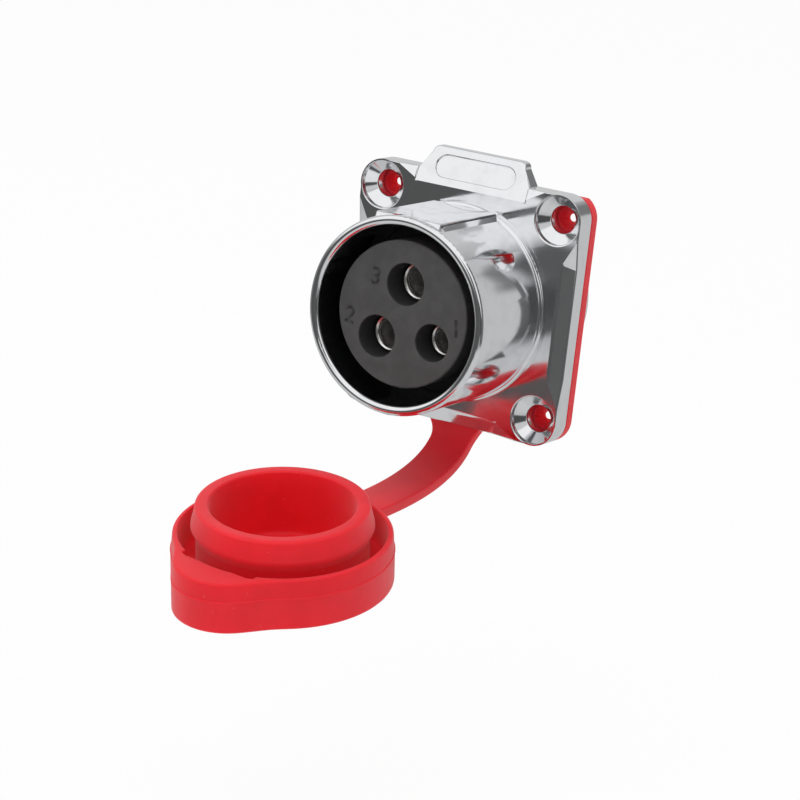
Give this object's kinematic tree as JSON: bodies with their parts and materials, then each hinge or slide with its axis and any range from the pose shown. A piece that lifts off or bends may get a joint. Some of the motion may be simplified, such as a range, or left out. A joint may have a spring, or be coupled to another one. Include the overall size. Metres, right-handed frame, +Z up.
{
  "type": "panel mount circular power connector receptacle",
  "caption": "Panel mount circular power receptacle with a square screw-on flange, a round barrel with a latch flat, a socket insert and a tethered rubber sealing cap.",
  "frame": {"origin": "on the connector axis, in the plane of the gasket's back, where the panel begins", "axes": "+Y along the connector axis into the panel, so that the mouth faces -Y; +Z up towards the label tab; +X to the right, seen from the front"},
  "size_m": [0.0326, 0.0692, 0.0534],
  "materials": {
    "chrome_shell": "bright nickel-chrome plating on a zinc casting",
    "red_rubber": "matte silicone",
    "insert_plastic": "fine matte moulding",
    "seal_rubber": "smooth",
    "spring_steel": "stamped",
    "contact_brass": "silver-plated turned brass"
  },
  "bodies": {
    "connector": {"shell": "chrome_shell", "gasket": "red_rubber", "front_insulator": "insert_plastic", "rear_insulator": "insert_plastic", "insert_seal": "seal_rubber", "face_seal": "seal_rubber", "retaining_ring": "spring_steel", "contact_1": "contact_brass", "contact_2": "contact_brass", "contact_3": "contact_brass", "contact_spring_1": "contact_brass", "contact_spring_2": "contact_brass", "contact_spring_3": "contact_brass", "contact_seal_1": "seal_rubber", "contact_seal_2": "seal_rubber", "contact_seal_3": "seal_rubber"},
    "strap": {"cap_strap": "red_rubber"},
    "cap": {"cap": "red_rubber"}
  },
  "joints": [
    {"name": "cap_push_on", "type": "slide", "parent": "connector", "child": "strap", "axis": [0, 1, 0], "range_m": [0, 0.00835], "stiffness_N_per_m": 60, "deforming": ["cap_strap"]},
    {"name": "cap_swing", "type": "hinge", "parent": "strap", "child": "cap", "pos_m": [0, -0.021, -0.0181], "axis": [-0.9984, 0.0296, 0.0488], "range_deg": [-75, 100.9], "stiffness_Nm_per_rad": 0.03, "deforming": ["cap_strap"]}
  ]
}
